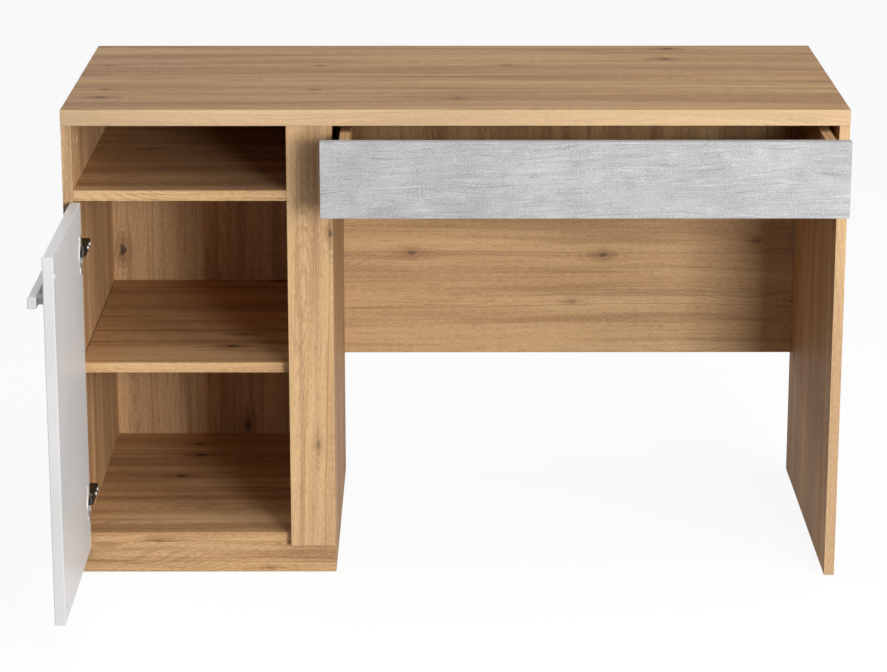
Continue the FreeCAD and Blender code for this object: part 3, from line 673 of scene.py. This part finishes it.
# Fasteners with driven heads, and the round-over of each rim in millimetres
for node, body, slot, finish, round_over in (
        ("hinge_arm_screws", "carcass", "nickel_plate", nickel, 0.8),
        ("hinge_plate_screws", "carcass", "nickel_plate", nickel, 0.15),
        ("hinge_cup_screws", "door", "nickel_plate", nickel, 0.15),
        ("handle_screws", "door", "zinc_plate", finishes["door_handle"], 0.15),
        ("cabinet_rail_screws", "carcass", "zinc_plate", zinc_plate, 0.15),
        ("drawer_rail_screws", "drawer", "zinc_plate", zinc_plate, 0.8),
        ("drawer_back_screws", "drawer", "zinc_plate", zinc_plate, 0.15)):
    driven_heads(node, body, finish, screw_head, round_over, small_cross)
cam_round_over = 0.4
driven_heads("drawer_cam_locks", "drawer", zinc_alloy, cam_face, cam_round_over,
             cam_cross)
cam_heads = driven_heads("cabinet_cam_locks", "carcass", zinc_alloy, cam_face,
                         cam_round_over, cam_cross)
cover_caps(cam_heads)


def seen_ray(tree):
    """One where the camera, a reflection or a clear piece looks at the surroundings."""
    path = put(tree, "LightPath")
    seen = put(tree, "Math", {0: path["Is Camera Ray"], 1: path["Is Glossy Ray"]},
               operation="MAXIMUM")[0]
    return put(tree, "Math", {0: seen, 1: path["Is Transmission Ray"]}, operation="MAXIMUM")[0]


def studio_floor():
    """A pale floor that reads as white and keeps a soft shadow."""
    size = 60.0
    drop = 0.1 * MM
    glow_strength = 0.92
    shadow_share = 0.11
    bpy.ops.object.select_all(action="DESELECT")
    bpy.ops.mesh.primitive_plane_add(size=size, location=(0, 0, -drop))
    floor = bpy.context.object
    floor.name = "studio_floor"
    material, tree = blank_material("pale_floor")
    plain = put(tree, "BsdfDiffuse", {"Color": linear("#a6a6a6")})[0]
    glow = put(tree, "Emission", {"Color": linear("#ffffff"), "Strength": glow_strength})[0]
    shade = put(tree, "BsdfDiffuse", {"Color": [shadow_share] * 3 + [1]})[0]
    white = put(tree, "AddShader", {0: glow, 1: shade})[0]
    mixed = put(tree, "MixShader", {0: seen_ray(tree), 1: plain, 2: white})[0]
    put(tree, "OutputMaterial", {"Surface": mixed})
    floor.data.materials.append(material)


def aimed(name, data, place, aim):
    """A lamp or camera in its place, turned to what it is aimed at."""
    holder = bpy.data.objects.new(name, data)
    bpy.context.scene.collection.objects.link(holder)
    holder.location = place
    holder.rotation_euler = (Vector(aim) - Vector(place)).to_track_quat("-Z", "Y").to_euler()
    return holder


def studio_light():
    """A soft key from the front right, softer lamps round the desk, and an even surround."""
    # Place and aim in metres, then a lamp's size in metres and watts, or a sun's angle and strength
    for name, kind, place, aim, size, power in (
            ("key", "AREA", (1.42, -3.74, 1.10), (0.05, -0.10, 0.45), 1.05, 116.0),
            ("side", "AREA", (2.9, -2.6, 1.9), (0.2, -0.1, 0.5), 1.4, 50.0),
            ("overhead", "AREA", (0.3, -0.4, 3.4), (0, 0.1, 0.5), 2.6, 41.0),
            ("behind", "SUN", (-1.9, 4.4, 1.0), (-0.1, 0.2, 0.35), math.radians(25), 0.65)):
        lamp = bpy.data.lights.new(name, kind)
        setattr(lamp, "angle" if kind == "SUN" else "size", size)
        lamp.energy = power
        aimed(name, lamp, place, aim)
    fill_strength = 0.115
    world = bpy.data.worlds.new("studio")
    bpy.context.scene.world = world
    world.use_nodes = True
    tree = world.node_tree
    tree.nodes.clear()
    even = put(tree, "Background", {"Color": linear("#e6ecff"), "Strength": fill_strength})[0]
    white = put(tree, "Background", {"Color": linear("#ffffff"), "Strength": 1.0})[0]
    mixed = put(tree, "MixShader", {0: seen_ray(tree), 1: even, 2: white})[0]
    put(tree, "OutputWorld", {"Surface": mixed})


def photo_camera():
    """A camera at the photograph's viewing angle, tilted down to the desk."""
    place = (-0.0211, -4.6318, 1.6628)
    aim = (-0.0111, -0.0985, 0.3963)
    lens = bpy.data.cameras.new("photo_camera")
    lens.sensor_width = 36.0
    lens.lens = 123.4
    bpy.context.scene.camera = aimed("photo_camera", lens, place, aim)


studio_floor()
studio_light()
photo_camera()
bpy.context.scene.view_settings.view_transform = "Standard"
